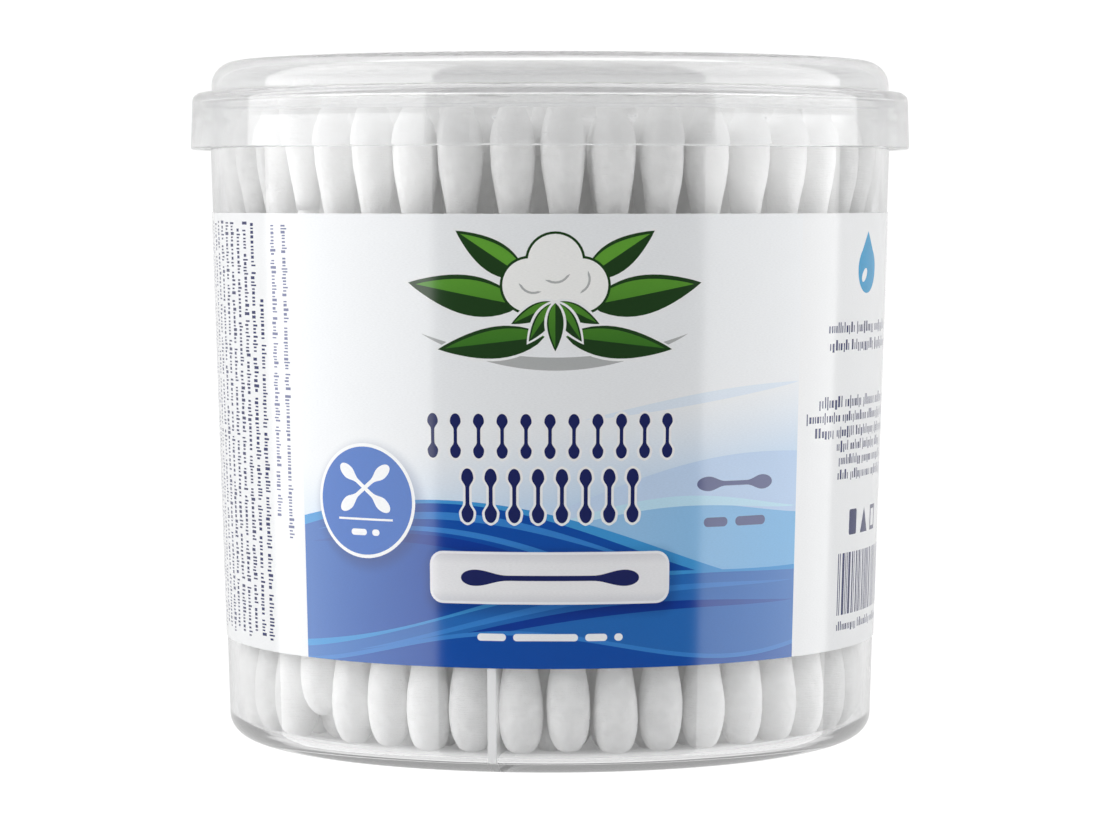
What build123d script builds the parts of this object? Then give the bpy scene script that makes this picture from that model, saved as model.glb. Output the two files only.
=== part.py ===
from build123d import *

import math
import os
import random

import numpy as np

# A round clear tub of cotton swabs with a press-on lid and a wrap-round label.
# The tub tapers towards its foot. One thin partition stands across its floor and
# parts the swabs into a left and a right compartment. Each swab is a stick with a
# wound cotton tip at each end, and the swabs stand on end, packed side by side.
# Millimetres, +Z up, origin at the middle of the face that the tub stands on.
# Angles are counted from +X towards +Y, so -90 is the front.

# Tub
rim_above_swabs = 1.25  # rim's top above the ends of swabs that stand on the floor
wall = 1.0
wall_slope = 0.0299  # how far the wall leans out for each millimetre of height
base_radius = 40.2  # outside of the wall, carried down to the foot's plane
base_corner = 2.6  # outside rounding from the wall to the foot
floor_top = 1.4
foot_recess = 0.5  # how far the floor's underside stands off the table
foot_width = 1.6  # flat ring that touches the table
rim_flange_width = 0.85  # how far the rim stands out of the wall
rim_flange_depth = 1.2

# Partition, moulded with the tub
partition_thickness = 0.9
partition_height = 54.0  # top edge above the foot's plane
partition_angle = -99.7  # direction of its front end
partition_bite = 0.4  # how far it runs into the wall and floor

# Lid
lid_wall = 1.0
dome_rise = 5.1  # rim's top to the lid's top
dome_corner = 3.0
dome_inset = 0.3  # how far the dome's outside lies inside the tub's wall line at the rim
skirt_depth = 5.8  # rim's top to the skirt's bottom
skirt_flare = 0.25  # how much wider the skirt is at its bottom than at its top
skirt_corner = 1.1
rim_gap = 0.2  # rim to the lid's flange, and rim flange to the skirt
snap_bead_height = 0.1
snap_bead_drop = 0.9  # middle of the bead below the rim flange

# Label
label_bottom = 12.5
label_below_rim = 13.6  # bare wall between the label and the rim's top
label_thickness = 0.12
label_glue_gap = 0.02
label_open_gap = 2.0  # bare strip at the back, where the label's ends nearly meet

# Swabs
swab_count = 200
swab_length = 76.0
stick_diameter = 2.4
stick_end_cover = 2.0  # cotton beyond each end of the stick
stick_fit = 0.02
tip_diameter = 4.7
tip_length = 15.5
tip_nose = 2.1  # rounding of the end
tip_waist = 7.5  # from the end to the middle of the rounded belly
tip_belly = 12.0  # rounding from the full width to the taper
tip_mouth_cover = 0.3  # cotton thickness where the stick comes out
swab_gap = 0.1  # least space between two tips, and between a tip and the partition
wall_gap = 0.3  # space between the outer row's tips and the wall
left_row_slack = 0.35  # spare room between neighbours in the outer row
right_row_slack = 0.6
floor_gap = 0.05
most_rise = 0.7  # swabs don't all reach the floor
most_shift = 0.08  # sideways stray of an upper end
swab_turn = -1.3  # how far round the tub the upper ends stand from the lower ones
proud_swab_angle = -133.0  # the one that stands clear of its neighbours
proud_swab_rise = 3.6

# What follows from these
tip_radius = tip_diameter / 2
stick_radius = stick_diameter / 2
spacing = tip_diameter + swab_gap
left_row_pitch = spacing + left_row_slack
right_row_pitch = spacing + right_row_slack
partition_reach = partition_thickness / 2 + swab_gap + tip_radius
foot_height = floor_top + floor_gap
rim_height = foot_height + swab_length + rim_above_swabs
lid_height = rim_height + dome_rise
flange_under = rim_height + rim_gap
label_top = rim_height - label_below_rim


def wall_radius(height):
    """Outside of the tapered wall at a height."""
    return base_radius + wall_slope * height


rim_flange_radius = wall_radius(rim_height) + rim_flange_width
skirt_inside = rim_flange_radius + rim_gap
dome_radius = wall_radius(rim_height) - dome_inset
# The rows stand clear of the wall where the tips are widest.
outer_row_foot = wall_radius(foot_height + tip_nose) - wall - wall_gap - tip_radius
upper_tip_height = foot_height + swab_length - tip_nose
outer_row_top = wall_radius(upper_tip_height) - wall - wall_gap - tip_radius


def turned(corners):
    """A solid of revolution from (radius, height, rounding) corners in order."""
    points = [(radius, height) for radius, height, _ in corners]
    outline = FilletPolyline(*points, radius=[c[2] for c in corners], close=True)
    section = Plane.XZ * make_face(outline)
    return revolve(section, Axis.Z)


def tub_shell():
    flange_low = rim_height - rim_flange_depth
    foot_outer = base_radius - base_corner
    foot_inner = foot_outer - foot_width
    inner_floor = wall_radius(floor_top) - wall
    return turned(
        [
            (0, foot_recess, 0),
            (foot_inner - foot_recess / 2, foot_recess, 0.3),
            (foot_inner, 0, 0.1),
            (wall_radius(0), 0, base_corner),
            (wall_radius(flange_low), flange_low, 0.3),
            (rim_flange_radius, flange_low, 0.3),
            (rim_flange_radius, rim_height, 0.35),
            (wall_radius(rim_height) - wall, rim_height, 0.3),
            (inner_floor, floor_top, base_corner - wall),
            (0, floor_top, 0),
        ]
    )


def cavity(grown=0.0):
    """The space inside the tub, grown outwards into its wall and floor."""
    low = floor_top - grown
    return turned(
        [
            (0, low, 0),
            (wall_radius(low) - wall + grown, low, base_corner - wall + grown),
            (wall_radius(rim_height) - wall + grown, rim_height, 0),
            (0, rim_height, 0),
        ]
    )


def partition():
    width = 2 * wall_radius(partition_height)
    plate = Box(
        width,
        partition_thickness,
        partition_height,
        align=(Align.CENTER, Align.CENTER, Align.MIN),
    )
    plate = Rot(0, 0, partition_angle) * plate
    return plate & cavity(partition_bite)


def lid():
    skirt_top_radius = skirt_inside + lid_wall
    skirt_low_radius = skirt_top_radius + skirt_flare
    flange_top = flange_under + lid_wall
    skirt_bottom = rim_height - skirt_depth
    low_inside = skirt_inside + skirt_flare / 2
    bead_height = rim_height - rim_flange_depth - snap_bead_drop
    return turned(
        [
            (0, lid_height, 0),
            (dome_radius, lid_height, dome_corner),
            (dome_radius, flange_top, 0.3),
            (skirt_top_radius, flange_top, skirt_corner),
            (skirt_low_radius, skirt_bottom, 0.3),
            (low_inside, skirt_bottom, 0.3),
            (skirt_inside, bead_height - 0.5, 0),
            (skirt_inside - snap_bead_height, bead_height, 0),
            (skirt_inside, bead_height + 0.5, 0),
            (skirt_inside, flange_under, 0.3),
            (dome_radius - lid_wall, flange_under, 0.3),
            (dome_radius - lid_wall, lid_height - lid_wall, dome_corner - lid_wall),
            (0, lid_height - lid_wall, 0),
        ]
    )


def label():
    """A conical wrap on the wall, open at the back."""
    inner_low = wall_radius(label_bottom) + label_glue_gap
    inner_high = wall_radius(label_top) + label_glue_gap
    outline = Polyline(
        (inner_low, label_bottom),
        (inner_low + label_thickness, label_bottom),
        (inner_high + label_thickness, label_top),
        (inner_high, label_top),
        close=True,
    )
    gap_angle = math.degrees(label_open_gap / wall_radius(label_bottom))
    wrap = revolve(Plane.XZ * make_face(outline), Axis.Z, 360 - gap_angle)
    return Rot(0, 0, 90 + gap_angle / 2) * wrap


def stick():
    """A stick on its own axis, from one cut end at the origin upwards."""
    length = swab_length - 2 * stick_end_cover
    return Cylinder(stick_radius, length, align=(Align.CENTER, Align.CENTER, Align.MIN))


def tip():
    """A wound cotton tip, its round end at the origin and its mouth upwards."""
    bore = stick_radius + stick_fit
    blind_end = stick_end_cover - stick_fit
    return turned(
        [
            (0, 0, 0),
            (tip_radius, 0, tip_nose),
            (tip_radius, tip_waist, tip_belly),
            (bore + tip_mouth_cover, tip_length, 0),
            (bore, tip_length, 0),
            (bore, blind_end, 0),
            (0, blind_end, 0),
        ]
    )


def outer_row(pitch):
    """Feet of the row along the wall, in one compartment, above the partition's line."""
    first = math.asin(partition_reach / outer_row_foot)
    step = 2 * math.asin(pitch / 2 / outer_row_foot)
    count = int((math.pi - 2 * first) / step) + 1
    turns = np.linspace(first, math.pi - first, count)
    return outer_row_foot * np.column_stack([np.cos(turns), np.sin(turns)])


def sunflower(count, phase):
    """Evenly spread starting points in the half disc inside the outer row."""
    golden = math.pi * (math.sqrt(5) - 1)
    limit = outer_row_foot - 0.9 * spacing
    points = []
    seed = 0
    while len(points) < count:
        share = (seed + 0.5) / (2 * count + 4)
        distance = limit * math.sqrt(share % 1)
        turn = golden * seed + phase
        place = (distance * math.cos(turn), distance * math.sin(turn))
        if place[1] > 0.8 * partition_reach:
            points.append(place)
        seed += 1
    return np.array(points)


def pushed_apart(feet, fixed):
    """Moves the feet until each is clear of the others, of the fixed row and of the partition."""
    own = np.arange(len(feet))
    for _ in range(4000):
        everyone = np.vstack([feet, fixed])
        apart = feet[:, None, :] - everyone[None, :, :]
        distance = np.hypot(apart[..., 0], apart[..., 1])
        distance[own, own] = np.inf
        overlap = np.clip(spacing - distance, 0, None)
        if overlap.max() < swab_gap / 20:
            return feet
        apart[own, own] = 0
        distance[own, own] = 1
        share = np.where(np.arange(len(everyone)) < len(feet), 0.3, 0.6)
        feet = feet + (apart / distance[..., None] * (overlap * share)[..., None]).sum(1)
        feet[:, 1] = np.maximum(feet[:, 1], partition_reach)
    return None


def compartment(wanted, pitch, phase):
    """Feet of one compartment's swabs, as many of the wanted number as have room."""
    row = outer_row(pitch)
    room = math.pi / 2 * (outer_row_foot - spacing / 2) ** 2
    inner = min(wanted - len(row), int(0.82 * room / (math.pi / 4 * spacing**2)))
    feet = None
    while feet is None:
        feet = pushed_apart(sunflower(inner, phase), row)
        inner -= 1
    return [("outer", x, y) for x, y in row] + [("inner", x, y) for x, y in feet]


def row_name(kind, x, y):
    """The row that a swab belongs to, counted inwards from the wall."""
    if kind == "outer":
        return "outer_row"
    depth = (outer_row_foot - math.hypot(x, y)) / spacing
    if depth < 1.5:
        return "second_row"
    if depth < 2.5:
        return "third_row"
    return "core"


def rise(direction, kind, stray):
    """How far above the floor a swab stands."""
    off_proud = (direction - proud_swab_angle + 180) % 360 - 180
    half_pitch = math.degrees(left_row_pitch / 2 / outer_row_foot)
    if kind == "outer" and abs(off_proud) <= half_pitch:
        return proud_swab_rise
    return most_rise * stray.random() ** 2


def swab_lines():
    """(compartment and row, foot point, top point) of each swab."""
    stray = random.Random(5)
    lean = outer_row_top / outer_row_foot
    lines = []
    sides = (("right", 1, right_row_pitch, 0.0), ("left", -1, left_row_pitch, 1.0))
    for side, mirror, pitch, phase in sides:
        for kind, x, y in compartment(swab_count // 2, pitch, phase):
            place = Vector(x, mirror * y).rotate(Axis.Z, partition_angle)
            direction = math.degrees(math.atan2(place.Y, place.X))
            foot = place + Vector(0, 0, foot_height + rise(direction, kind, stray))
            shift = Vector(*(stray.uniform(-most_shift, most_shift) for _ in "xy"))
            sway = (place * lean).rotate(Axis.Z, swab_turn) - place + shift
            top = foot + (sway + Vector(0, 0, swab_length)).normalized() * swab_length
            lines.append((f"{side}_{row_name(kind, x, y)}", foot, top))
    return lines


def along(foot, top, lift=0.0):
    """The place of a shape made upright at the origin, moved to run from foot to top."""
    direction = (top - foot).normalized()
    return Plane(origin=foot + direction * lift, z_dir=direction).location


def swab_nodes():
    """Sticks, lower tips and upper tips of each row, as groups of separate solids."""
    one_stick, one_tip = stick(), tip()
    groups = {}
    for row, foot, top in swab_lines():
        pieces = {
            "sticks": one_stick.moved(along(foot, top, stick_end_cover)),
            "lower_tips": one_tip.moved(along(foot, top)),
            "upper_tips": one_tip.moved(along(top, foot)),
        }
        for part, solid in pieces.items():
            groups.setdefault(f"{row}_{part}", []).append(solid)
    return {name: Compound(children=solids) for name, solids in groups.items()}


def build():
    nodes = {"tub": tub_shell() + partition(), "lid": lid(), "label": label()}
    nodes.update(swab_nodes())
    os.makedirs("parts", exist_ok=True)
    for name, shape in nodes.items():
        export_step(shape, f"parts/{name}.step")


build()
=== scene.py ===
import math
import random

import bmesh
import bpy
import numpy as np
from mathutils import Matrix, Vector
from mathutils.geometry import delaunay_2d_cdt


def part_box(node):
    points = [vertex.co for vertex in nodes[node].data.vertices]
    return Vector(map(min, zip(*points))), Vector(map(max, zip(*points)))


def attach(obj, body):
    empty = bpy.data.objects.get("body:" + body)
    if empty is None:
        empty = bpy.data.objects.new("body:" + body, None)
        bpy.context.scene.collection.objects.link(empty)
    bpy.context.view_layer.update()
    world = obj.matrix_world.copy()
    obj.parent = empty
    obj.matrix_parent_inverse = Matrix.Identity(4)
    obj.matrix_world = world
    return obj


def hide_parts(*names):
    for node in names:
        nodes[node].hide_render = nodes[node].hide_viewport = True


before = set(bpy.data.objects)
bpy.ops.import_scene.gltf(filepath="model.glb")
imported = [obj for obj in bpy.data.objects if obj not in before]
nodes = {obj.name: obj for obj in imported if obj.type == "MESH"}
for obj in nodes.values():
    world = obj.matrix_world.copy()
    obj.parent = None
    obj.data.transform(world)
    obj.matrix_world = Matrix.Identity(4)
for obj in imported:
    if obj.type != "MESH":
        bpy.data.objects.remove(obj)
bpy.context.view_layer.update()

scene = bpy.context.scene
MM = 0.001


# ---------------------------------------------------------------- node helpers
def add(tree, kind, values=None, **settings):
    """A shader node. values go to its inputs by name or number: sockets are linked, the rest is set."""
    node = tree.nodes.new("ShaderNode" + kind)
    for key, value in settings.items():
        setattr(node, key, value)
    for key, value in (values or {}).items():
        if isinstance(value, bpy.types.NodeSocket):
            tree.links.new(value, node.inputs[key])
        else:
            node.inputs[key].default_value = value
    return node


def math_node(tree, operation, *values):
    return add(tree, "Math", dict(enumerate(values)), operation=operation).outputs[0]


def mix_colour(tree, factor, a, b, blend="MIX"):
    node = add(tree, "Mix", data_type="RGBA", blend_type=blend)
    for socket, value in ((node.inputs[0], factor), (node.inputs[6], a), (node.inputs[7], b)):
        if isinstance(value, bpy.types.NodeSocket):
            tree.links.new(value, socket)
        else:
            socket.default_value = value
    return node.outputs[2]


def span(tree, value, low, high, to_low=0.0, to_high=1.0, smooth=False):
    """value taken from low..high to to_low..to_high, held at the ends."""
    kind = "SMOOTHSTEP" if smooth else "LINEAR"
    ends = {0: value, 1: low, 2: high, 3: to_low, 4: to_high}
    return add(tree, "MapRange", ends, interpolation_type=kind).outputs[0]


def rgb(*shown):
    """A colour given in display values, 0 to 255, as the linear one that a shader takes."""
    parts = [c / 255 for c in shown]
    return (*(c / 12.92 if c <= 0.04045 else ((c + 0.055) / 1.055) ** 2.4 for c in parts), 1.0)


def grey(level):
    return (level, level, level, 1)


def material(name, **values):
    """A material with a Principled shader: (material, tree, shader)."""
    made = bpy.data.materials.new(name)
    made.use_nodes = True
    tree = made.node_tree
    shader = next(n for n in tree.nodes if n.type == "BSDF_PRINCIPLED")
    for key, value in values.items():
        shader.inputs[key.replace("_", " ")].default_value = value
    return made, tree, shader


def bump(tree, shader, height, strength, distance):
    node = add(tree, "Bump", {"Height": height, "Strength": strength, "Distance": distance})
    tree.links.new(node.outputs[0], shader.inputs["Normal"])


# ---------------------------------------------------------------- camera, light, floor
CAMERA_AT = (0.0, -0.481, 0.06713)
CAMERA_DIP = 0.0565  # radians below level
SENSOR_WIDTH = 36.0
LENS_IN_WIDTHS = 3.479363636  # focal length, in widths of the picture

AMBIENT = 0.21
IN_MIRRORS = 0.85
THROUGH_PLASTIC = 0.93
TO_CAMERA = 1.05

SOFTBOX_DISTANCE = 1.2
SOFTBOX_LOW, SOFTBOX_HIGH = -1.0, 1.9
TOP_LIGHT_SIZE = 1.3
FLOOR_REACH = 8.0
CARD_RADIUS, CARD_LOW, CARD_HIGH = 1.9, -0.4, 2.0
CARD_START, CARD_END = -38.7, 52


def put_camera():
    camera = bpy.data.objects.new("camera", bpy.data.cameras.new("camera"))
    scene.collection.objects.link(camera)
    camera.location = CAMERA_AT
    camera.rotation_euler = (math.pi / 2 - CAMERA_DIP, 0.0, 0.0)
    camera.data.sensor_width = SENSOR_WIDTH
    camera.data.lens = LENS_IN_WIDTHS * SENSOR_WIDTH
    camera.data.clip_start = 0.01
    scene.camera = camera
    scene.view_settings.view_transform = "Standard"


def world_light():
    """A white studio, bright to the camera, to mirror-like surfaces and through clear plastic.

    Its own light on matt surfaces is soft and low.
    """
    world = bpy.data.worlds.new("studio")
    world.use_nodes = True
    scene.world = world
    tree = world.node_tree
    tree.nodes.clear()
    path = add(tree, "LightPath")
    colour = grey(AMBIENT)
    levels = {"Glossy": IN_MIRRORS, "Transmission": THROUGH_PLASTIC, "Camera": TO_CAMERA}
    for ray, level in levels.items():
        colour = mix_colour(tree, path.outputs[f"Is {ray} Ray"], colour, grey(level))
    back = add(tree, "Background", {"Color": colour, "Strength": 1.0})
    out = add(tree, "OutputWorld")
    tree.links.new(back.outputs[0], out.inputs[0])


def softbox(name, azimuth, width, radiance):
    """An upright rectangular light that faces the pack. Azimuth runs from the front to the right."""
    height = SOFTBOX_HIGH - SOFTBOX_LOW
    light = bpy.data.lights.new(name, "AREA")
    light.shape = "RECTANGLE"
    light.size, light.size_y = width, height
    light.energy = radiance * math.pi * width * height
    lamp = bpy.data.objects.new(name, light)
    scene.collection.objects.link(lamp)
    a = math.radians(azimuth)
    across, back = math.sin(a) * SOFTBOX_DISTANCE, -math.cos(a) * SOFTBOX_DISTANCE
    lamp.location = (across, back, (SOFTBOX_LOW + SOFTBOX_HIGH) / 2)
    lamp.rotation_euler = (math.pi / 2, 0.0, a)
    lamp.visible_camera = False


def top_light(radiance):
    light = bpy.data.lights.new("top_light", "AREA")
    light.size = TOP_LIGHT_SIZE
    light.energy = radiance * math.pi * light.size**2
    lamp = bpy.data.objects.new("top_light", light)
    scene.collection.objects.link(lamp)
    lamp.location = (0.0, 0.35, 1.5)
    lamp.visible_camera = lamp.visible_glossy = False


def floor():
    """A white floor that looks the same near and far, with only a hint of the pack's shadow."""
    plane = bpy.data.meshes.new("floor")
    r = FLOOR_REACH
    plane.from_pydata([(-r, -r, 0), (r, -r, 0), (r, r, 0), (-r, r, 0)], [], [(0, 1, 2, 3)])
    made, tree, shader = material("floor_white", Roughness=0.9)
    shader.inputs["Base Color"].default_value = grey(0.8)
    path = add(tree, "LightPath")
    even = add(tree, "Emission", {"Color": grey(1), "Strength": 1.2})
    share = math_node(tree, "MULTIPLY", path.outputs["Is Camera Ray"], 0.82)
    share = math_node(tree, "MULTIPLY_ADD", path.outputs["Is Transmission Ray"], 0.4, share)
    both = add(tree, "MixShader", {0: share, 1: shader.outputs[0], 2: even.outputs[0]})
    out = next(n for n in tree.nodes if n.type == "OUTPUT_MATERIAL")
    tree.links.new(both.outputs[0], out.inputs[0])
    plane.materials.append(made)
    obj = bpy.data.objects.new("floor", plane)
    scene.collection.objects.link(obj)
    obj.visible_glossy = False


def dark_card():
    """A curved dark card in front, which only reflections see. It keeps the middle of the label deep."""
    mesh = bpy.data.meshes.new("dark_card")
    turns = np.radians(np.linspace(CARD_START, CARD_END, 24))
    across, back = np.sin(turns) * CARD_RADIUS, -np.cos(turns) * CARD_RADIUS
    points = [(x, y, z) for x, y in zip(across, back) for z in (CARD_LOW, CARD_HIGH)]
    faces = [(2 * i, 2 * i + 1, 2 * i + 3, 2 * i + 2) for i in range(len(turns) - 1)]
    mesh.from_pydata(points, [], faces)
    made, tree, shader = material("card_dark", Roughness=1.0)
    shader.inputs["Base Color"].default_value = grey(0)
    shader.inputs["Specular IOR Level"].default_value = 0.0
    shader.inputs["Emission Color"].default_value = grey(0.1)
    shader.inputs["Emission Strength"].default_value = 1.0
    mesh.materials.append(made)
    obj = bpy.data.objects.new("dark_card", mesh)
    scene.collection.objects.link(obj)
    obj.visible_camera = obj.visible_diffuse = obj.visible_transmission = obj.visible_shadow = False


put_camera()
world_light()
floor()
dark_card()
softbox("left_softbox", azimuth=-73.9, width=1.69, radiance=2.3)
softbox("right_softbox", azimuth=82, width=1.39, radiance=1.95)
top_light(radiance=0.8)


# ---------------------------------------------------------------- tub and lid, in millimetres
def top_of(node):
    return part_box(node)[1][2] / MM


RIM, LID = round(top_of("tub"), 3), round(top_of("lid"), 3)
FLOOR, FOOT = 1.4, 0.5  # the floor's top and underside
BASE_RADIUS, WALL_SLOPE, WALL = 40.2, 0.0299, 1.0
FOOT_INSIDE = 36.0  # radius inside the ring it stands on
RIM_DEPTH, RIM_STAND = 1.2, 0.85
DOME_INSET = 0.3
LID_GAP = 0.2  # the rim to the lid's flange and to its skirt
SKIRT_DEPTH, SKIRT_FLARE = 5.8, 0.25
BEAD_DROP, BEAD_REACH, BEAD_HALF = 2.1, 0.1, 0.5
PARTITION_ANGLE, PARTITION_HALF, PARTITION_TOP = -99.7, 0.45, 54.0
PARTITION_GAP = 0.012  # a hair, so that the plate and the tub stay two closed shells
SEGMENTS = 256


def wall_at(z):
    """The wall's outside radius at a height."""
    return BASE_RADIUS + WALL_SLOPE * z


RIM_OUT = wall_at(RIM) + RIM_STAND
DOME, SKIRT = wall_at(RIM) - DOME_INSET, RIM_OUT + LID_GAP
FLANGE, BEAD = RIM + LID_GAP, RIM - BEAD_DROP  # the flange's underside and the bead's middle

# (radius, height, rounding), clockwise, so that the solid is on the right
TUB_OUTLINE = (
    (0, FLOOR, 0),
    (wall_at(FLOOR) - WALL, FLOOR, 1.6),
    (wall_at(RIM) - WALL, RIM, 0.3),
    (RIM_OUT, RIM, 0.35),
    (RIM_OUT, RIM - RIM_DEPTH, 0.3),
    (wall_at(RIM - RIM_DEPTH), RIM - RIM_DEPTH, 0.3),
    (BASE_RADIUS, 0, 2.6),
    (FOOT_INSIDE, 0, 0.1),
    (FOOT_INSIDE - FOOT / 2, FOOT, 0.3),
    (0, FOOT, 0),
)
LID_OUTLINE = (
    (0, LID, 0),
    (DOME, LID, 3.0),
    (DOME, FLANGE + WALL, 0.3),
    (SKIRT + WALL, FLANGE + WALL, 1.1),
    (SKIRT + WALL + SKIRT_FLARE, RIM - SKIRT_DEPTH, 0.3),
    (SKIRT + SKIRT_FLARE / 2, RIM - SKIRT_DEPTH, 0.3),
    (SKIRT, BEAD - BEAD_HALF, 0),
    (SKIRT - BEAD_REACH, BEAD, 0),
    (SKIRT, BEAD + BEAD_HALF, 0),
    (SKIRT, FLANGE, 0.3),
    (DOME - WALL, FLANGE, 0.3),
    (DOME - WALL, LID - WALL, 2.0),
    (0, LID - WALL, 0),
)


def milky_partition(tree, place, clear):
    """Transmission that is lower in the partition, whiter than the wall, around the plate's middle plane."""
    turn = math.radians(PARTITION_ANGLE)
    normal = (-math.sin(turn), math.cos(turn), 0)
    across = add(tree, "VectorMath", {0: place, 1: normal}, operation="DOT_PRODUCT").outputs[1]
    inside = math_node(tree, "LESS_THAN", math_node(tree, "ABSOLUTE", across), (PARTITION_HALF + 0.02) * MM)
    height = add(tree, "SeparateXYZ", {0: place}).outputs[2]
    above = math_node(tree, "GREATER_THAN", height, (FLOOR - 0.1) * MM)
    below = math_node(tree, "LESS_THAN", height, (PARTITION_TOP + 0.1) * MM)
    plate = math_node(tree, "MULTIPLY", inside, math_node(tree, "MULTIPLY", above, below))
    return span(tree, plate, 0.0, 1.0, clear, 0.3)


def clear_plastic(name, tint, roughness, transmission, ripple, shade, with_partition=False):
    """Moulded see-through plastic: faint flow ripples, a little haze and fine scuffs in its gloss."""
    made, tree, shader = material(name, IOR=1.49)
    shader.inputs["Base Color"].default_value = tint
    shader.inputs["Transmission Weight"].default_value = transmission
    place = add(tree, "TexCoord").outputs["Object"]
    stretched = add(tree, "Mapping", {"Vector": place, "Scale": (60, 60, 14)}).outputs[0]
    flow = add(tree, "TexNoise", {"Vector": stretched, "Scale": 1.0, "Detail": 1.0}).outputs[0]
    scuffs = add(tree, "TexNoise", {"Vector": place, "Scale": 900.0, "Detail": 3.0}).outputs[0]
    rough = span(tree, scuffs, 0.35, 0.75, roughness, roughness * 1.8)
    tree.links.new(rough, shader.inputs["Roughness"])
    bump(tree, shader, flow, 0.04, ripple)
    if with_partition:
        tree.links.new(milky_partition(tree, place, transmission), shader.inputs["Transmission Weight"])
    path = add(tree, "LightPath")
    # painted light: the plastic glows a little where a path reaches glossy depth 4, so that light led along
    # inside the wall comes out pale where the renderer would end it as black
    shader.inputs["Emission Color"].default_value = grey(1)
    painted_glow_mask = math_node(tree, "COMPARE", path.outputs["Glossy Depth"], 4.0, 0.5)
    tree.links.new(math_node(tree, "MULTIPLY", painted_glow_mask, 0.32), shader.inputs["Emission Strength"])
    # lamps and soft light reach what is inside
    through = add(tree, "BsdfTransparent", {"Color": shade}).outputs[0]
    surface = shader
    for ray in ("Is Diffuse Ray", "Is Shadow Ray"):
        surface = add(tree, "MixShader", {0: path.outputs[ray], 1: surface.outputs[0], 2: through})
    out = next(n for n in tree.nodes if n.type == "OUTPUT_MATERIAL")
    tree.links.new(surface.outputs[0], out.inputs[0])
    return made


def dress(node, made):
    mesh = nodes[node].data
    mesh.materials.clear()
    mesh.materials.append(made)


def place_piece(name, mesh, node, body):
    """Put a mesh in the scene for a CAD node."""
    obj = bpy.data.objects.new(name, mesh)
    scene.collection.objects.link(obj)
    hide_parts(node)
    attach(obj, body)


def unit(v):
    return v / np.linalg.norm(v)


def rounded(corners):
    """(radius, height, normal) along a closed clockwise outline of (radius, height, rounding) corners."""
    out = []
    for k, (x, z, r) in enumerate(corners):
        here = np.array((x, z))
        back = unit(np.array(corners[k - 1][:2]) - here)
        on = unit(np.array(corners[(k + 1) % len(corners)][:2]) - here)
        sides = [np.array((back[1], -back[0])), np.array((-on[1], on[0]))]
        if not r:
            # on the axis the surface stays level
            normal = min(sides, key=lambda n: abs(n[0])) if x == 0 else unit(sides[0] + sides[1])
            out.append((x, z, normal))
            continue
        half = math.acos(np.clip(back @ on, -1, 1)) / 2
        bend = math.pi - 2 * half
        centre = here + unit(back + on) * r / math.sin(half)
        sign = 1 if sides[0] @ (here - centre) > 0 else -1
        square = unit(sides[1] - sides[0] * (sides[0] @ sides[1]))
        for angle in np.linspace(0, bend, max(3, math.ceil(math.degrees(bend) / 7)) + 1):
            normal = sides[0] * math.cos(angle) + square * math.sin(angle)
            out.append((*(centre + sign * r * normal), normal))
    return out


def turned_mesh(name, corners):
    """A closed mesh of revolution, with the true normals of its outline."""
    turn = np.arange(SEGMENTS) * 2 * math.pi / SEGMENTS
    points, normals, rings = [], [], []
    for x, z, n in rounded(corners):
        if x < 1e-6:
            rings.append([len(points)])
            points.append((0, 0, z * MM))
            normals.append((0, 0, n[1]))
        else:
            rings.append(list(range(len(points), len(points) + SEGMENTS)))
            points += [(x * MM * math.cos(t), x * MM * math.sin(t), z * MM) for t in turn]
            normals += [(n[0] * math.cos(t), n[0] * math.sin(t), n[1]) for t in turn]
    faces = []
    for a, b in zip(rings, rings[1:] + rings[:1]):
        if len(a) == 1 and len(b) == 1:
            continue
        for s in range(SEGMENTS):
            n = (s + 1) % SEGMENTS
            loop = [a[s % len(a)], b[s % len(b)], b[n % len(b)], a[n % len(a)]]
            faces.append(list(dict.fromkeys(loop)))
    mesh = bpy.data.meshes.new(name)
    mesh.from_pydata(points, [], faces)
    mesh.polygons.foreach_set("use_smooth", [True] * len(faces))
    mesh.normals_split_custom_set_from_vertices(normals)
    return mesh


def partition(name):
    """The plate across the tub's floor, a hair clear of it."""
    gap = PARTITION_GAP
    side = rounded((
        (0, FLOOR + gap, 0),
        (wall_at(FLOOR) - WALL - gap, FLOOR + gap, 1.6),
        (wall_at(PARTITION_TOP) - WALL - gap, PARTITION_TOP, 0.2),
        (0, PARTITION_TOP, 0),
    ))
    right = [(x, z) for x, z, _ in side if x > 1e-6]
    outline = right + [(-x, z) for x, z in reversed(right)]
    turn = math.radians(PARTITION_ANGLE)
    along, across = np.array((math.cos(turn), math.sin(turn))), np.array((-math.sin(turn), math.cos(turn)))
    faces_at = (-PARTITION_HALF, PARTITION_HALF)
    points = [(*(x * along + w * across) * MM, z * MM) for w in faces_at for x, z in outline]
    count = len(outline)
    faces = [list(range(count)), list(range(2 * count - 1, count - 1, -1))]
    faces += [(k, count + k, count + (k + 1) % count, (k + 1) % count) for k in range(count)]
    mesh = bpy.data.meshes.new(name)
    mesh.from_pydata(points, [], faces)
    bm = bmesh.new()
    bm.from_mesh(mesh)
    bmesh.ops.recalc_face_normals(bm, faces=bm.faces)
    bm.to_mesh(mesh)
    bm.free()
    return mesh


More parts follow.
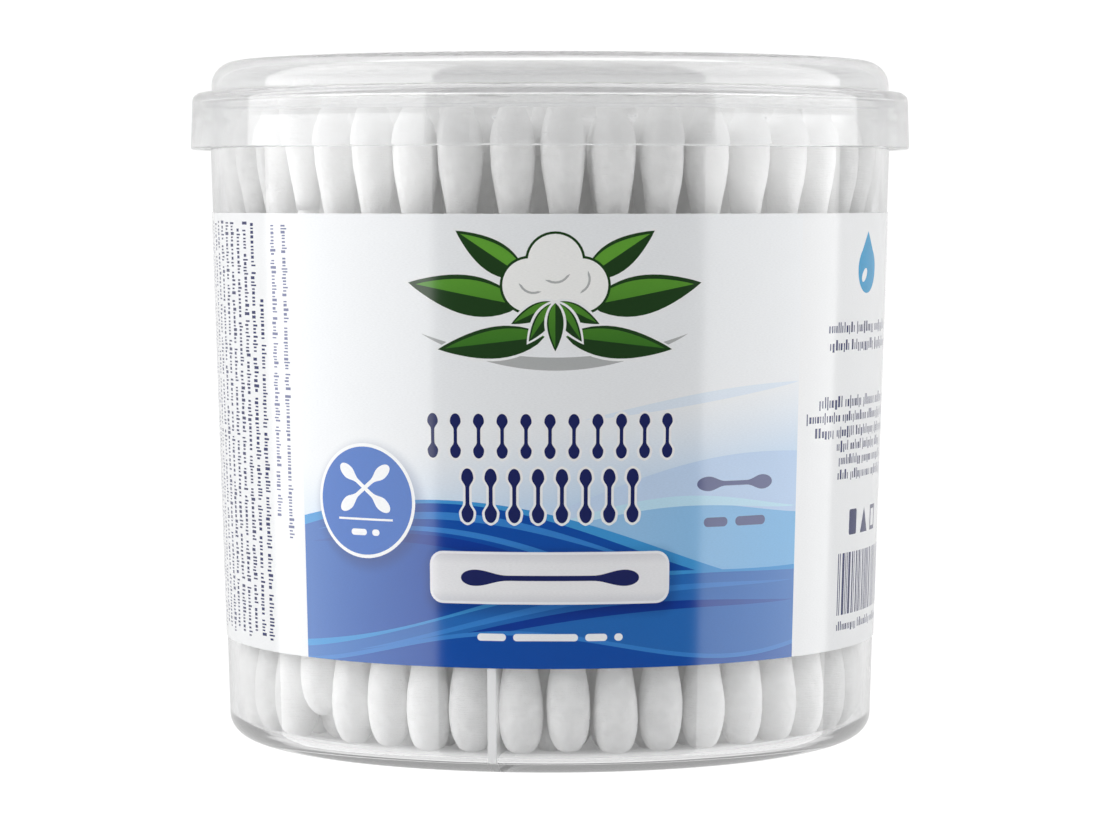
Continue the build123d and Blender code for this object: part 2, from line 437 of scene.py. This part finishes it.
def tub_and_lid():
    styrene = clear_plastic(
        "clear_styrene", (0.97, 0.972, 0.975, 1), roughness=0.03, transmission=1.0, ripple=0.0004,
        shade=grey(0.97), with_partition=True,
    )
    milky = clear_plastic(
        "milky_lid", (0.9, 0.902, 0.905, 1), roughness=0.05, transmission=0.88, ripple=0.00004,
        shade=grey(0.95),
    )
    shell, plate = turned_mesh("tub_shell", TUB_OUTLINE), partition("tub_partition")
    cover = turned_mesh("lid_shell", LID_OUTLINE)
    shell.materials.append(styrene)
    plate.materials.append(styrene)
    cover.materials.append(milky)
    place_piece("tub_shell", shell, "tub", "tub")
    place_piece("tub_partition", plate, "tub", "tub")
    place_piece("lid_shell", cover, "lid", "lid")


tub_and_lid()


# ---------------------------------------------------------------- label, in millimetres of print
BOTTOM, TOP = (round(corner[2] / MM, 3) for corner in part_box("label"))
SHEET_RADIUS = 41.3  # where a millimetre of print is a millimetre of arc
OPEN_HALF = 1.02  # half the bare strip at the back
HALF = math.pi * SHEET_RADIUS - OPEN_HALF
PANEL = 32.3  # half the width of the blue panel
FILM_OUT, FILM_IN = 0.14, 0.03  # how far the film's faces stand off the wall
COLUMNS, ROWS = 236, 17
MOTIF_X = 0.6
BADGE_X, BADGE_Z = -22.8, 31.6
PILL_Z = 23.05
SIDE_X, SIDE_PITCH = -39.6, 1.95  # first column of fine print at the left
INK_ORDER = []  # (ink, outline), later ones on top


def draw(ink, outline):
    """Lay a field of ink over those before it, its outline turned anticlockwise."""
    points = [(float(x), float(z)) for x, z in outline]
    area = sum(a[0] * b[1] - b[0] * a[1] for a, b in zip(points, points[1:] + points[:1]))
    INK_ORDER.append((ink, points if area > 0 else points[::-1]))


def box_outline(x0, z0, x1, z1, r=0.0, steps=6):
    if not r:
        return [(x0, z0), (x1, z0), (x1, z1), (x0, z1)]
    out = []
    centres = ((x1 - r, z0 + r), (x1 - r, z1 - r), (x0 + r, z1 - r), (x0 + r, z0 + r))
    for quarter, (cx, cz) in enumerate(centres):
        for k in range(steps + 1):
            a = math.radians(90 * (quarter - 1) + 90 * k / steps)
            out.append((cx + r * math.cos(a), cz + r * math.sin(a)))
    return out


def disc(cx, cz, rx, rz=None, angle=0.0, steps=40):
    rz = rz or rx
    ca, sa = math.cos(angle), math.sin(angle)
    out = []
    for k in range(steps):
        t = 2 * math.pi * k / steps
        u, v = rx * math.cos(t), rz * math.sin(t)
        out.append((cx + u * ca - v * sa, cz + u * sa + v * ca))
    return out


def swab_icon(ink, cx, cz, length, width, angle, grow=0.0):
    """A swab pictogram lying along angle: a thin stick between two long drops."""
    reach = length / 2
    belly, neck = min(0.9 * width, 0.36 * reach), min(2.9 * width, 0.72 * reach)
    side = []
    for k in range(29):
        u = (k / 28) ** 1.6 * reach
        if u < belly:
            w = math.sqrt(1 - (1 - u / belly) ** 2)
        elif u < neck:
            w = 0.32 + 0.68 * (0.5 + 0.5 * math.cos(math.pi * (u - belly) / (neck - belly)))
        else:
            w = 0.32
        along = u - reach - grow * (1 - min(1, 4 * u / reach))
        side.append((along, w * width / 2 + grow * min(1, 9 * u / reach)))
    top = side + [(-u, w) for u, w in reversed(side[:-1])]
    shape = top + [(u, -w) for u, w in reversed(top[1:-1])]
    ca, sa = math.cos(angle), math.sin(angle)
    draw(ink, [(cx + u * ca - w * sa, cz + u * sa + w * ca) for u, w in shape])


def leaf(x, z, angle, length, width):
    """A pointed leaf that grows from (x, z), white rimmed and lighter on its upper half."""
    ca, sa = math.cos(angle), math.sin(angle)
    up = 1 if ca >= 0 else -1

    def shape(length, width, low, back=0.0):
        edge = [(k / 14, width / 2 * math.sin(math.pi * (k / 14) ** 0.8) ** 0.9) for k in range(15)]
        edge = [(u * length - back, w) for u, w in edge]
        other = [(u, -low * w) for u, w in reversed(edge[1:-1])]
        return [(x + u * ca - w * up * sa, z + u * sa + w * up * ca) for u, w in edge + other]

    draw("white", shape(length + 0.7, width + 0.6, 1.0, 0.3))
    draw("leaf_dark", shape(length, width, 1.0))
    draw("leaf_light", shape(length * 0.93, width * 0.8, 0.0))


def fine_print(ink, start, end, across, height, seed, upright=False):
    """A line of plain upright strokes, grouped and uneven, as grey as fine print and with no letters."""
    pick = random.Random(seed)
    at, group = start, pick.randint(5, 16)
    while at < end:
        wide = height * pick.choice((0.16, 0.16, 0.2, 0.3))
        low = across - height * pick.choice((0.34, 0.34, 0.34, 0.5))
        high = across + height * pick.choice((0.22, 0.22, 0.22, 0.5))
        corners = (low, at, high, at + wide) if upright else (at, low, at + wide, high)
        draw(ink, box_outline(*corners))
        at += wide + height * pick.choice((0.14, 0.2))
        group -= 1
        if group == 0:
            at += height * 0.35
            group = pick.randint(5, 16)


def dashes(ink, x, z, thick, *lengths):
    """Round-ended bars in a row, centred on (x, z)."""
    at = x - (sum(lengths) + thick * (len(lengths) - 1)) / 2
    for length in lengths:
        draw(ink, box_outline(at, z - thick / 2, at + length, z + thick / 2, thick * 0.49))
        at += length + thick


def swell(base, slope, height, length, phase):
    return lambda x: base + slope * x + height * math.sin(2 * math.pi * (x - phase) / length)


def hill(ink, line, steps=64):
    """The field between a line across the panel and the label's bottom."""
    xs = [-PANEL + 2 * PANEL * k / steps for k in range(steps + 1)]
    draw(ink, [(x, max(line(x), BOTTOM + 0.04)) for x in xs] + [(PANEL, BOTTOM), (-PANEL, BOTTOM)])


def streak(ink, line, x0, x1, thick, steps=40):
    """A long pointed band under a line."""
    xs = [x0 + (x1 - x0) * k / steps for k in range(steps + 1)]
    low = [(x, line(x) - thick * math.sin(math.pi * k / steps) ** 0.8) for k, x in enumerate(xs)]
    draw(ink, [(x, line(x)) for x in xs] + low[-2:0:-1])


def print_water():
    """Swells of water across the panel, from the far ones to the near ones."""
    draw("sky", box_outline(-PANEL, BOTTOM, PANEL, TOP))
    streak("mist", swell(41.0, 0.11, 1.4, 70, 4), 4, PANEL, 1.2)
    hill("haze", swell(31.0, 0.17, 2.4, 66, 2))
    hill("pale", swell(28.0, 0.10, 2.2, 60, -4))
    streak("foam", swell(29.2, 0.08, 2.0, 54, 0), -4, PANEL, 1.2)
    main = swell(26.8, -0.05, 4.2, 84, -32)
    hill("edge", lambda x: main(x) + 0.8 + 0.4 * math.sin(x / 8))
    hill("deep", main)
    streak("bright", lambda x: main(x) - 1.0, -30, 12, 0.9)
    streak("bright", lambda x: main(x) - 3.6 - 0.06 * x, -28, 22, 0.7)
    streak("dark", lambda x: main(x) - 5.0 - 0.09 * x, -31, 20, 1.3)
    front = swell(19.8, 0.125, 1.9, 78, -12)
    hill("edge", lambda x: front(x) + 0.55 + 0.25 * math.sin(x / 6 + 1))
    hill("mid", front)
    streak("bright", lambda x: front(x) - 1.2, -24, PANEL, 0.8)
    streak("dark", lambda x: front(x) - 2.6 - 0.03 * x, -20, PANEL, 1.1)
    near = swell(14.6, 0.02, 1.9, 58, -20)
    hill("bright", lambda x: near(x) + 0.5)
    hill("deep", near)


def print_motif():
    """A cotton boll among leaves, over a curved grey stroke."""
    streak("silver", lambda x: 48.6 + 0.011 * (x - MOTIF_X) ** 2, -15.0, 16.2, 1.5)
    leaves = ((3.4, 57.8, 34, 9.6, 3.6), (1.2, 51.0, -7, 12.5, 3.7), (4.0, 54.6, 11, 13.4, 4.6))
    for side in (-1, 1):
        for dx, z, degrees, length, width in leaves:
            a = math.radians(90 - side * (90 - degrees))
            leaf(MOTIF_X + side * dx, z, a, length, width)
    for ink, r in (("leaf_dark", 3.4), ("cotton_white", 3.1)):
        for dx, dz in ((-2.9, 0.2), (2.9, 0.2), (0, 3.0), (0, -0.6)):
            draw(ink, disc(MOTIF_X + dx, 56.7 + dz, r))
    draw("cotton_white", disc(MOTIF_X, 56.8, 3.2))
    creases = ((-1.9, 57.6, 1.7, 3.4), (2.9, 57.6, 1.7, 5.0), (0.6, 58.9, 1.8, 4.0), (0.5, 55.2, 1.7, 3.6))
    for cx, cz, r, start in creases:
        arc = np.linspace(start, start + 1.9, 9)
        rim = [(cx + r * math.cos(t), cz + r * math.sin(t)) for t in arc]
        inner = [(cx + (r - 0.25) * math.cos(t), cz + (r - 0.25) * math.sin(t)) for t in arc[::-1]]
        draw("silver", rim + inner[1:-1])
    for degrees, length in ((206, 5.6), (334, 5.6), (236, 5.4), (304, 5.4), (270, 5.6)):
        leaf(MOTIF_X, 54.9, math.radians(degrees), length, 1.9)


def print_swabs():
    """Two rows of upright swabs, and a lying one at their right."""
    for row_z, count, tall, width in ((39.5, 11, 5.2, 1.3), (32.6, 8, 6.3, 1.45)):
        for grow, ink in ((0.3, "white"), (0.0, "navy")):
            for k in range(count):
                swab_icon(ink, (k - (count - 1) / 2) * 2.75, row_z, tall, width, math.pi / 2, grow)
    swab_icon("navy_soft", 22.9, 33.7, 10.6, 1.7, 0.0)
    dashes("navy_soft", 22.9, 29.2, 1.1, 3.2, 4.4)


def print_badge():
    draw("badge_ring", disc(BADGE_X, BADGE_Z, 6.75, steps=72))
    draw("badge_blue", disc(BADGE_X, BADGE_Z, 6.35, steps=72))
    for degrees in (38, 142):
        swab_icon("badge_ring", BADGE_X, 33.1, 8.6, 1.5, math.radians(degrees))
    draw("badge_ring", box_outline(BADGE_X - 3.8, 29.3, BADGE_X + 3.8, 29.55))
    dashes("badge_ring", BADGE_X, 27.9, 0.75, 2.2, 1.0)


def print_pill():
    draw("pill_rim", box_outline(-14.3, 20.0, 14.2, 26.1, 1.6))
    draw("pill", box_outline(-14.0, 20.3, 13.9, 25.8, 1.35))
    swab_icon("navy", 0.0, PILL_Z, 21.0, 1.9, 0.0)
    dashes("badge_ring", 0.0, 16.15, 0.85, 3.4, 7.6, 2.6, 1.0)


def print_left_side():
    """Columns of upright fine print."""
    for k, x in enumerate((-34.8, -37.0)):
        fine_print("navy_soft", 26.5 + 2.5 * k, 63.9, x, 1.1, 20 + k, upright=True)
    for k in range(11):
        start, end = 13.8 + (k % 3) * 0.4, 63.9 - (9.0 if k == 0 else 0.0)
        fine_print("navy", start, end, SIDE_X - SIDE_PITCH * k, 1.25, 30 + k, upright=True)


def print_right_side():
    """A drop, lines of fine print, small signs and bars."""
    drop = [(47.6 + 2.9 * math.sin(t), 58.3 - 2.9 * math.cos(t)) for t in np.linspace(-2.45, 2.45, 34)]
    draw("cyan", [(47.6, 62.9)] + drop[::-1])
    draw("white", disc(46.7, 57.6, 1.0, 0.6, 0.8))
    lines = (
        (37.9, 58.0, 51.3, 1.5), (38.2, 58.0, 49.2, 1.5), (36.3, 59.0, 42.4, 1.6), (33.9, 59.5, 40.6, 1.4),
        (35.6, 59.0, 38.8, 1.4), (40.4, 57.0, 37.1, 1.4), (41.0, 57.5, 35.4, 1.4), (40.8, 58.0, 33.6, 1.4),
    )
    for k, (x0, x1, z, tall) in enumerate(lines):
        fine_print("navy", x0, x1, z, tall, 50 + k)
    draw("navy", box_outline(44.3, 26.2, 46.6, 29.3, 0.3))
    draw("navy", [(48.0, 26.2), (50.8, 26.2), (49.4, 29.3)])
    draw("navy", box_outline(52.2, 26.2, 54.8, 29.3))
    draw("white", box_outline(52.7, 26.7, 54.3, 28.8))
    pick = random.Random(4)
    x = 41.6
    while x < 60.5:
        wide = pick.choice((0.22, 0.22, 0.4, 0.62))
        draw("navy", box_outline(x, 16.6, x + wide, 24.1))
        x += wide + pick.choice((0.24, 0.24, 0.45))
    fine_print("navy", 41.6, 60.5, 15.2, 1.3, 61)


def compose_print():
    draw("white", box_outline(-HALF, BOTTOM, HALF, TOP))
    print_water()
    print_motif()
    print_swabs()
    print_badge()
    print_pill()
    print_left_side()
    print_right_side()


INKS = {
    "white": rgb(238, 239, 240),
    "sky": rgb(238, 240, 242),
    "mist": rgb(222, 232, 243),
    "haze": rgb(184, 208, 238),
    "pale": rgb(122, 182, 228),
    "foam": rgb(190, 224, 242),
    "edge": rgb(62, 150, 212),
    "deep": rgb(6, 76, 166),
    "mid": rgb(34, 104, 182),
    "bright": rgb(52, 128, 204),
    "dark": rgb(4, 56, 150),
    "navy": rgb(26, 34, 92),
    "navy_soft": rgb(92, 98, 140),
    "leaf_dark": rgb(30, 62, 26),
    "leaf_light": rgb(66, 128, 38),
    "silver": rgb(176, 178, 178),
    "cotton_white": rgb(244, 244, 242),
    "badge_ring": rgb(244, 245, 246),
    "badge_blue": rgb(46, 104, 188),
    "pill_rim": rgb(240, 240, 243),
    "pill": rgb(222, 222, 226),
    "cyan": rgb(20, 150, 200),
    "backing": rgb(226, 227, 228),
}


SHADOWED = ("sky", "mist", "haze", "pale", "foam", "edge", "deep", "mid", "bright", "dark")


def shaded_ink(tree, name, x, z):
    """The ink's colour, with soft gradients: the sky's, the leaves' and the pill's are the print's own, the
    pale waves lighten towards the left, and the deep blues are painted lighter towards the panel's sides as
    a painted reflection of the softboxes. x and z are in millimetres of print.
    """
    colour = INKS[name]
    if name == "sky":
        tilt = math_node(tree, "MULTIPLY_ADD", x, -0.17, z)
        fade = span(tree, tilt, 24.0, 42.0, 1.0, 0.0, smooth=True)
        return mix_colour(tree, fade, colour, rgb(168, 205, 240))
    if name in ("haze", "pale"):
        fade = span(tree, x, -PANEL, PANEL, 0.55, 0.0)
        return mix_colour(tree, fade, colour, rgb(226, 236, 245))
    if name in ("deep", "mid", "bright", "dark"):
        # painted reflection: the deep blues lighten towards both sides of the panel, where the two softboxes
        # shine in the film
        off_middle = math_node(tree, "ABSOLUTE", math_node(tree, "SUBTRACT", x, 1.0))
        fade = span(tree, off_middle, 15.0, PANEL, 0.0, 0.42)
        return mix_colour(tree, fade, colour, rgb(92, 142, 205))
    if name == "leaf_light":
        fade = span(tree, z, 47.0, 60.0, 0.0, 1.0)
        return mix_colour(tree, fade, rgb(40, 96, 30), rgb(96, 160, 52))
    if name == "pill":
        off_middle = math_node(tree, "ABSOLUTE", math_node(tree, "SUBTRACT", z, PILL_Z))
        inner = span(tree, off_middle, 1.4, 2.8, 1.0, 0.0, smooth=True)
        return mix_colour(tree, inner, colour, rgb(238, 238, 240))
    return colour


def beyond(tree, x, z, centre, half_size, rounding):
    """How far a point lies outside a rounded block."""
    outside = []
    for value, middle, half in zip((x, z), centre, half_size):
        off = math_node(tree, "ABSOLUTE", math_node(tree, "SUBTRACT", value, middle))
        past = math_node(tree, "MAXIMUM", math_node(tree, "SUBTRACT", off, half), 0.0)
        outside.append(math_node(tree, "MULTIPLY", past, past))
    length = math_node(tree, "SQRT", math_node(tree, "ADD", *outside))
    return math_node(tree, "SUBTRACT", length, rounding)


def badge_and_pill_shadow(tree, colour, x, z):
    """The soft shadows that the badge and the pill throw in the print."""
    badge = beyond(tree, x, z, (-22.4, 31.0), (0, 0), 6.6)
    pill = beyond(tree, x, z, (0.2, 22.6), (12.7, 1.5), 1.5)
    shade = span(tree, math_node(tree, "MINIMUM", badge, pill), -0.4, 1.7, 0.45, 0.0, smooth=True)
    dim = mix_colour(tree, shade, grey(1), (0.12, 0.16, 0.3, 1))
    return mix_colour(tree, 1.0, colour, dim, "MULTIPLY")


def ink_material(name):
    """One printed colour under the label's gloss film, with its gradients (the deep blues' painted
    reflection among them), press grain and film ripple.
    """
    made, tree, shader = material("print_" + name, Roughness=0.13, IOR=1.5)
    sheet = add(tree, "UVMap", uv_map="sheet").outputs[0]
    axes = add(tree, "SeparateXYZ", {0: sheet})
    x = span(tree, axes.outputs[0], 0.0, 1.0, -HALF, HALF)
    z = span(tree, axes.outputs[1], 0.0, 1.0, BOTTOM, TOP)
    colour = shaded_ink(tree, name, x, z)
    if name in SHADOWED:
        colour = badge_and_pill_shadow(tree, colour, x, z)
    grain = add(tree, "TexNoise", {"Vector": sheet, "Scale": 700.0, "Detail": 2.0}).outputs[0]
    wash = span(tree, grain, 0.3, 0.7, 0.96, 1.03)
    washed = add(tree, "CombineColor", {0: wash, 1: wash, 2: wash}).outputs[0]
    tree.links.new(mix_colour(tree, 1.0, colour, washed, "MULTIPLY"), shader.inputs["Base Color"])
    place = add(tree, "TexCoord").outputs["Object"]
    ripple = add(tree, "TexNoise", {"Vector": place, "Scale": 55.0, "Detail": 1.5}).outputs[0]
    bump(tree, shader, ripple, 0.12, 0.0006)
    return made


def topmost(points):
    """The number of the last field of ink that covers each point."""
    owner = np.zeros(len(points), int)
    order = np.argsort(points[:, 0])
    x, z = points[order].T
    for number, (_, outline) in enumerate(INK_ORDER):
        a = np.array(outline)
        b = np.roll(a, -1, axis=0)
        first, last = np.searchsorted(x, (a[:, 0].min(), a[:, 0].max()))
        px, pz = x[first:last, None], z[first:last, None]
        crosses = (a[:, 1] > pz) != (b[:, 1] > pz)
        rise = np.where(b[:, 1] == a[:, 1], 1, b[:, 1] - a[:, 1])
        left = px < a[:, 0] + (pz - a[:, 1]) / rise * (b[:, 0] - a[:, 0])
        inside = (crosses & left).sum(1) % 2 == 1
        owner[order[first:last][inside]] = number
    return owner


def printed_sheet():
    """The print cut into triangles, flat: (corners, triangles, the ink of each)."""
    across = [-HALF + 2 * HALF * i / COLUMNS for i in range(COLUMNS + 1)]
    up = [BOTTOM + (TOP - BOTTOM) * j / ROWS for j in range(ROWS + 1)]
    points = [Vector((x, z)) for x in across for z in up]
    borders = []
    for _, outline in INK_ORDER:
        start, size = len(points), len(outline)
        points += [Vector(p) for p in outline]
        borders += [(start + k, start + (k + 1) % size) for k in range(size)]
    flat, _, triangles = delaunay_2d_cdt(points, borders, [], 0, 1e-5, False)[:3]
    xz = np.array([(p.x, p.y) for p in flat])
    triangles = np.array(triangles)
    return xz, triangles.tolist(), [INK_ORDER[k][0] for k in topmost(xz[triangles].mean(1))]


def label():
    """The printed film as one closed sheet: fields of ink on its outside, plain backing inside."""
    compose_print()
    xz, triangles, printed = printed_sheet()
    count = len(xz)
    turn = xz[:, 0] / SHEET_RADIUS - math.pi / 2
    skins = []
    for lift in (FILM_OUT, FILM_IN):
        r = wall_at(xz[:, 1]) + lift
        skins.append(np.column_stack([r * np.cos(turn), r * np.sin(turn), xz[:, 1]]) * MM)
    edges = {(a, b) for t in triangles for a, b in zip(t, t[1:] + t[:1])}
    polygons = [tuple(t) for t in triangles] + [tuple(i + count for i in reversed(t)) for t in triangles]
    rim = [(a, b) for t in triangles for a, b in zip(t, t[1:] + t[:1]) if (b, a) not in edges]
    polygons += [(b, a, a + count, b + count) for a, b in rim]
    mesh = bpy.data.meshes.new("label_film")
    mesh.from_pydata(np.vstack(skins).tolist(), [], polygons)
    inks = list(dict.fromkeys(ink for ink, _ in INK_ORDER)) + ["backing"]
    for ink in inks:
        mesh.materials.append(ink_material(ink))
    slots = [inks.index(ink) for ink in printed] + [inks.index("backing")] * (len(triangles) + len(rim))
    mesh.polygons.foreach_set("material_index", slots)
    mesh.polygons.foreach_set("use_smooth", [True] * len(polygons))
    uv = mesh.uv_layers.new(name="sheet")
    corner = np.zeros(len(mesh.loops), np.int32)
    mesh.loops.foreach_get("vertex_index", corner)
    sheet = np.column_stack([(xz[:, 0] + HALF) / (2 * HALF), (xz[:, 1] - BOTTOM) / (TOP - BOTTOM)])
    uv.data.foreach_set("uv", sheet[corner % count].astype(np.float32).ravel())
    out = np.column_stack([np.cos(turn), np.sin(turn), np.full(count, -WALL_SLOPE)])
    out /= np.linalg.norm(out, axis=1)[:, None]
    mesh.normals_split_custom_set_from_vertices(np.vstack([out, -out]).tolist())
    place_piece("label_film", mesh, "label", "tub")


label()


# ---------------------------------------------------------------- swabs
def painted_glow(shader, level):
    """Painted light: a little even glow, standing in for the light that white fibre and thin white stick
    pass on from their neighbours.
    """
    shader.inputs["Emission Color"].default_value = (1, 1, 0.99, 1)
    shader.inputs["Emission Strength"].default_value = level


def cotton_material():
    """Wound cotton: matt, soft edged, with fine fibre turns and a faint mottle."""
    made, tree, shader = material("wound_cotton", Roughness=0.95)
    shader.inputs["Sheen Weight"].default_value = 0.25
    shader.inputs["Sheen Roughness"].default_value = 0.5
    shader.inputs["Specular IOR Level"].default_value = 0.15
    # painted light: the cotton glows a little, for light passed on through the fibre
    painted_glow(shader, 0.03)
    place = add(tree, "TexCoord").outputs["Object"]
    fine = {"Vector": place, "Scale": 700.0, "Detail": 4.0, "Roughness": 0.6}
    mottle = add(tree, "TexNoise", fine).outputs[0]
    tones = (0.86, 0.86, 0.855, 1), (0.95, 0.95, 0.945, 1)
    colour = mix_colour(tree, span(tree, mottle, 0.3, 0.7), *tones)
    tree.links.new(colour, shader.inputs["Base Color"])
    turned = add(tree, "UVMap", uv_map="wound").outputs[0]
    wind = {"Vector": turned, "Scale": (6.0, 90.0, 1.0), "Rotation": (0, 0, 0.35)}
    stretched = add(tree, "Mapping", wind).outputs[0]
    fibre = add(tree, "TexNoise", {"Vector": stretched, "Scale": 1.6, "Detail": 3.0}).outputs[0]
    lumps = add(tree, "TexNoise", {"Vector": place, "Scale": 330.0, "Detail": 2.0}).outputs[0]
    both = math_node(tree, "MULTIPLY_ADD", fibre, 0.5, mottle)
    bump(tree, shader, math_node(tree, "MULTIPLY_ADD", lumps, 2.5, both), 0.6, 0.00028)
    return made


def stick_material():
    """Smooth white moulded stick with faint length-wise drawing lines."""
    made, tree, shader = material("white_stick", Roughness=0.45)
    # painted light: the stick glows a little, for light passed on from its neighbours
    painted_glow(shader, 0.05)
    place = add(tree, "TexCoord").outputs["Object"]
    lines = add(tree, "Mapping", {"Vector": place, "Scale": (2600, 2600, 60)}).outputs[0]
    grain = add(tree, "TexNoise", {"Vector": lines, "Scale": 1.0, "Detail": 2.0}).outputs[0]
    colour = mix_colour(tree, span(tree, grain, 0.3, 0.7), (0.87, 0.87, 0.86, 1), (0.92, 0.92, 0.91, 1))
    tree.links.new(colour, shader.inputs["Base Color"])
    bump(tree, shader, grain, 0.2, 0.00005)
    return made


def separate_groups(bm):
    """The points of each piece that isn't joined to the others."""
    seen = set()
    for first in bm.verts:
        if first in seen:
            continue
        group, queue = [], [first]
        seen.add(first)
        while queue:
            v = queue.pop()
            group.append(v.co.copy())
            for edge in v.link_edges:
                other = edge.other_vert(v)
                if other not in seen:
                    seen.add(other)
                    queue.append(other)
        yield group


def swab_axes(node):
    """(foot, top) of each swab of a node of sticks, from the ends of its sticks."""
    bm = bmesh.new()
    bm.from_mesh(nodes[node].data)
    bmesh.ops.remove_doubles(bm, verts=bm.verts, dist=2e-6)
    axes = []
    for group in separate_groups(bm):
        middle = sum((c.z for c in group)) / len(group)
        ends = []
        for part in ([c for c in group if c.z < middle], [c for c in group if c.z >= middle]):
            low, high = Vector(map(min, zip(*part))), Vector(map(max, zip(*part)))
            ends.append((low + high) / 2)
        way = (ends[1] - ends[0]).normalized() * COTTON_PAST_STICK * MM
        axes.append((ends[0] - way, ends[1] + way))
    bm.free()
    return axes


COTTON_PAST_STICK = 2.0
TIP_THICKNESS = 5.2
TIP_LENGTH = 15.5
WOUND_PITCH = 1.3
# (distance from the end, radius) down a tip of that thickness
TIP_PROFILE = (
    (0, 0), (0.6, 1.35), (1.8, 2.1), (3.5, 2.5), (5.5, 2.6), (8.0, 2.42), (10.5, 2.02), (13.0, 1.62),
    (TIP_LENGTH, 1.3),
)


def tip_rings(count):
    """(distance, radius) at evenly spread rings, smooth through the profile."""
    q = np.sqrt([p[0] for p in TIP_PROFILE])
    r = np.array([p[1] for p in TIP_PROFILE])
    slope = np.gradient(r, q)
    at = np.linspace(0, q[-1], count + 1)[1:]
    k = np.clip(np.searchsorted(q, at) - 1, 0, len(q) - 2)
    h = q[k + 1] - q[k]
    t = (at - q[k]) / h
    radius = (
        (2 * t**3 - 3 * t**2 + 1) * r[k] + (t**3 - 2 * t**2 + t) * h * slope[k]
        + (3 * t**2 - 2 * t**3) * r[k + 1] + (t**3 - t**2) * h * slope[k + 1]
    )
    return at**2, radius


def wind_tip(end, inward, thickness, rings, segments, pick):
    """Points, their sheet places and faces of one tip. end is its round end, inward points to the stick."""
    way = inward.normalized()
    side = way.orthogonal().normalized()
    other = way.cross(side)
    distance, radius = tip_rings(rings)
    radius = radius * thickness / TIP_THICKNESS
    turn = np.arange(segments) * 2 * math.pi / segments
    lump = np.ones((rings, segments))
    for _ in range(5):
        around, down = pick.choice((1, 2, 2, 3, 4)), pick.uniform(0.15, 0.9)
        rise = pick.uniform(0.003, 0.012)
        phase = around * turn[None, :] + down * distance[:, None] + pick.uniform(0, 6.28)
        lump += rise * np.sin(phase)
    lump += 0.006 * np.sin(turn[None, :] + distance[:, None] * 2 * math.pi / WOUND_PITCH)
    r = radius[:, None] * lump
    shape = (
        np.array(end)[None, None, :]
        + (distance * MM)[:, None, None] * np.array(way)
        + (r * np.cos(turn) * MM)[..., None] * np.array(side)
        + (r * np.sin(turn) * MM)[..., None] * np.array(other)
    )
    mouth = np.array(end) + np.array(way) * distance[-1] * MM
    points = [np.array(end)] + list(shape.reshape(-1, 3)) + [mouth]
    around = [(s / segments, d / TIP_LENGTH) for d in distance for s in range(segments)]
    uv = [(0.5, 0.0)] + around + [(0.5, 1.0)]
    faces = []
    for s in range(segments):
        n = (s + 1) % segments
        faces.append((0, 1 + n, 1 + s))
        for k in range(rings - 1):
            a = 1 + k * segments
            faces.append((a + s, a + n, a + segments + n, a + segments + s))
        a = 1 + (rings - 1) * segments
        faces.append((a + s, a + n, len(points) - 1))
    return points, uv, faces


def tips(row, which, made):
    """All lower or upper tips of one row as one piece."""
    outer = "outer" in row
    rings, segments = (24, 32) if outer else (16, 20)
    thin, thick = (5.04, 5.2) if outer else (4.7, 4.84)
    pick = random.Random(f"{row} {which}")
    points, uvs, faces = [], [], []
    for foot, top in swab_axes(row + "_sticks"):
        end, inward = (foot, top - foot) if which == "lower" else (top, foot - top)
        thickness = pick.uniform(thin, thick)
        if outer and which == "upper":
            thickness += 0.12
        new_points, new_uvs, new_faces = wind_tip(end, inward, thickness, rings, segments, pick)
        start = len(points)
        points += new_points
        uvs += new_uvs
        faces += [tuple(i + start for i in f) for f in new_faces]
    name = f"{row}_{which}_cotton"
    mesh = bpy.data.meshes.new(name)
    mesh.from_pydata([tuple(p) for p in points], [], faces)
    mesh.polygons.foreach_set("use_smooth", [True] * len(faces))
    layer = mesh.uv_layers.new(name="wound")
    for loop in mesh.loops:
        layer.data[loop.index].uv = uvs[loop.vertex_index]
    mesh.materials.append(made)
    place_piece(name, mesh, f"{row}_{which}_tips", "tub")


cotton, white_stick = cotton_material(), stick_material()
for side in ("left", "right"):
    for row in ("outer_row", "second_row", "third_row", "core"):
        dress(f"{side}_{row}_sticks", white_stick)
        for which in ("lower", "upper"):
            tips(f"{side}_{row}", which, cotton)
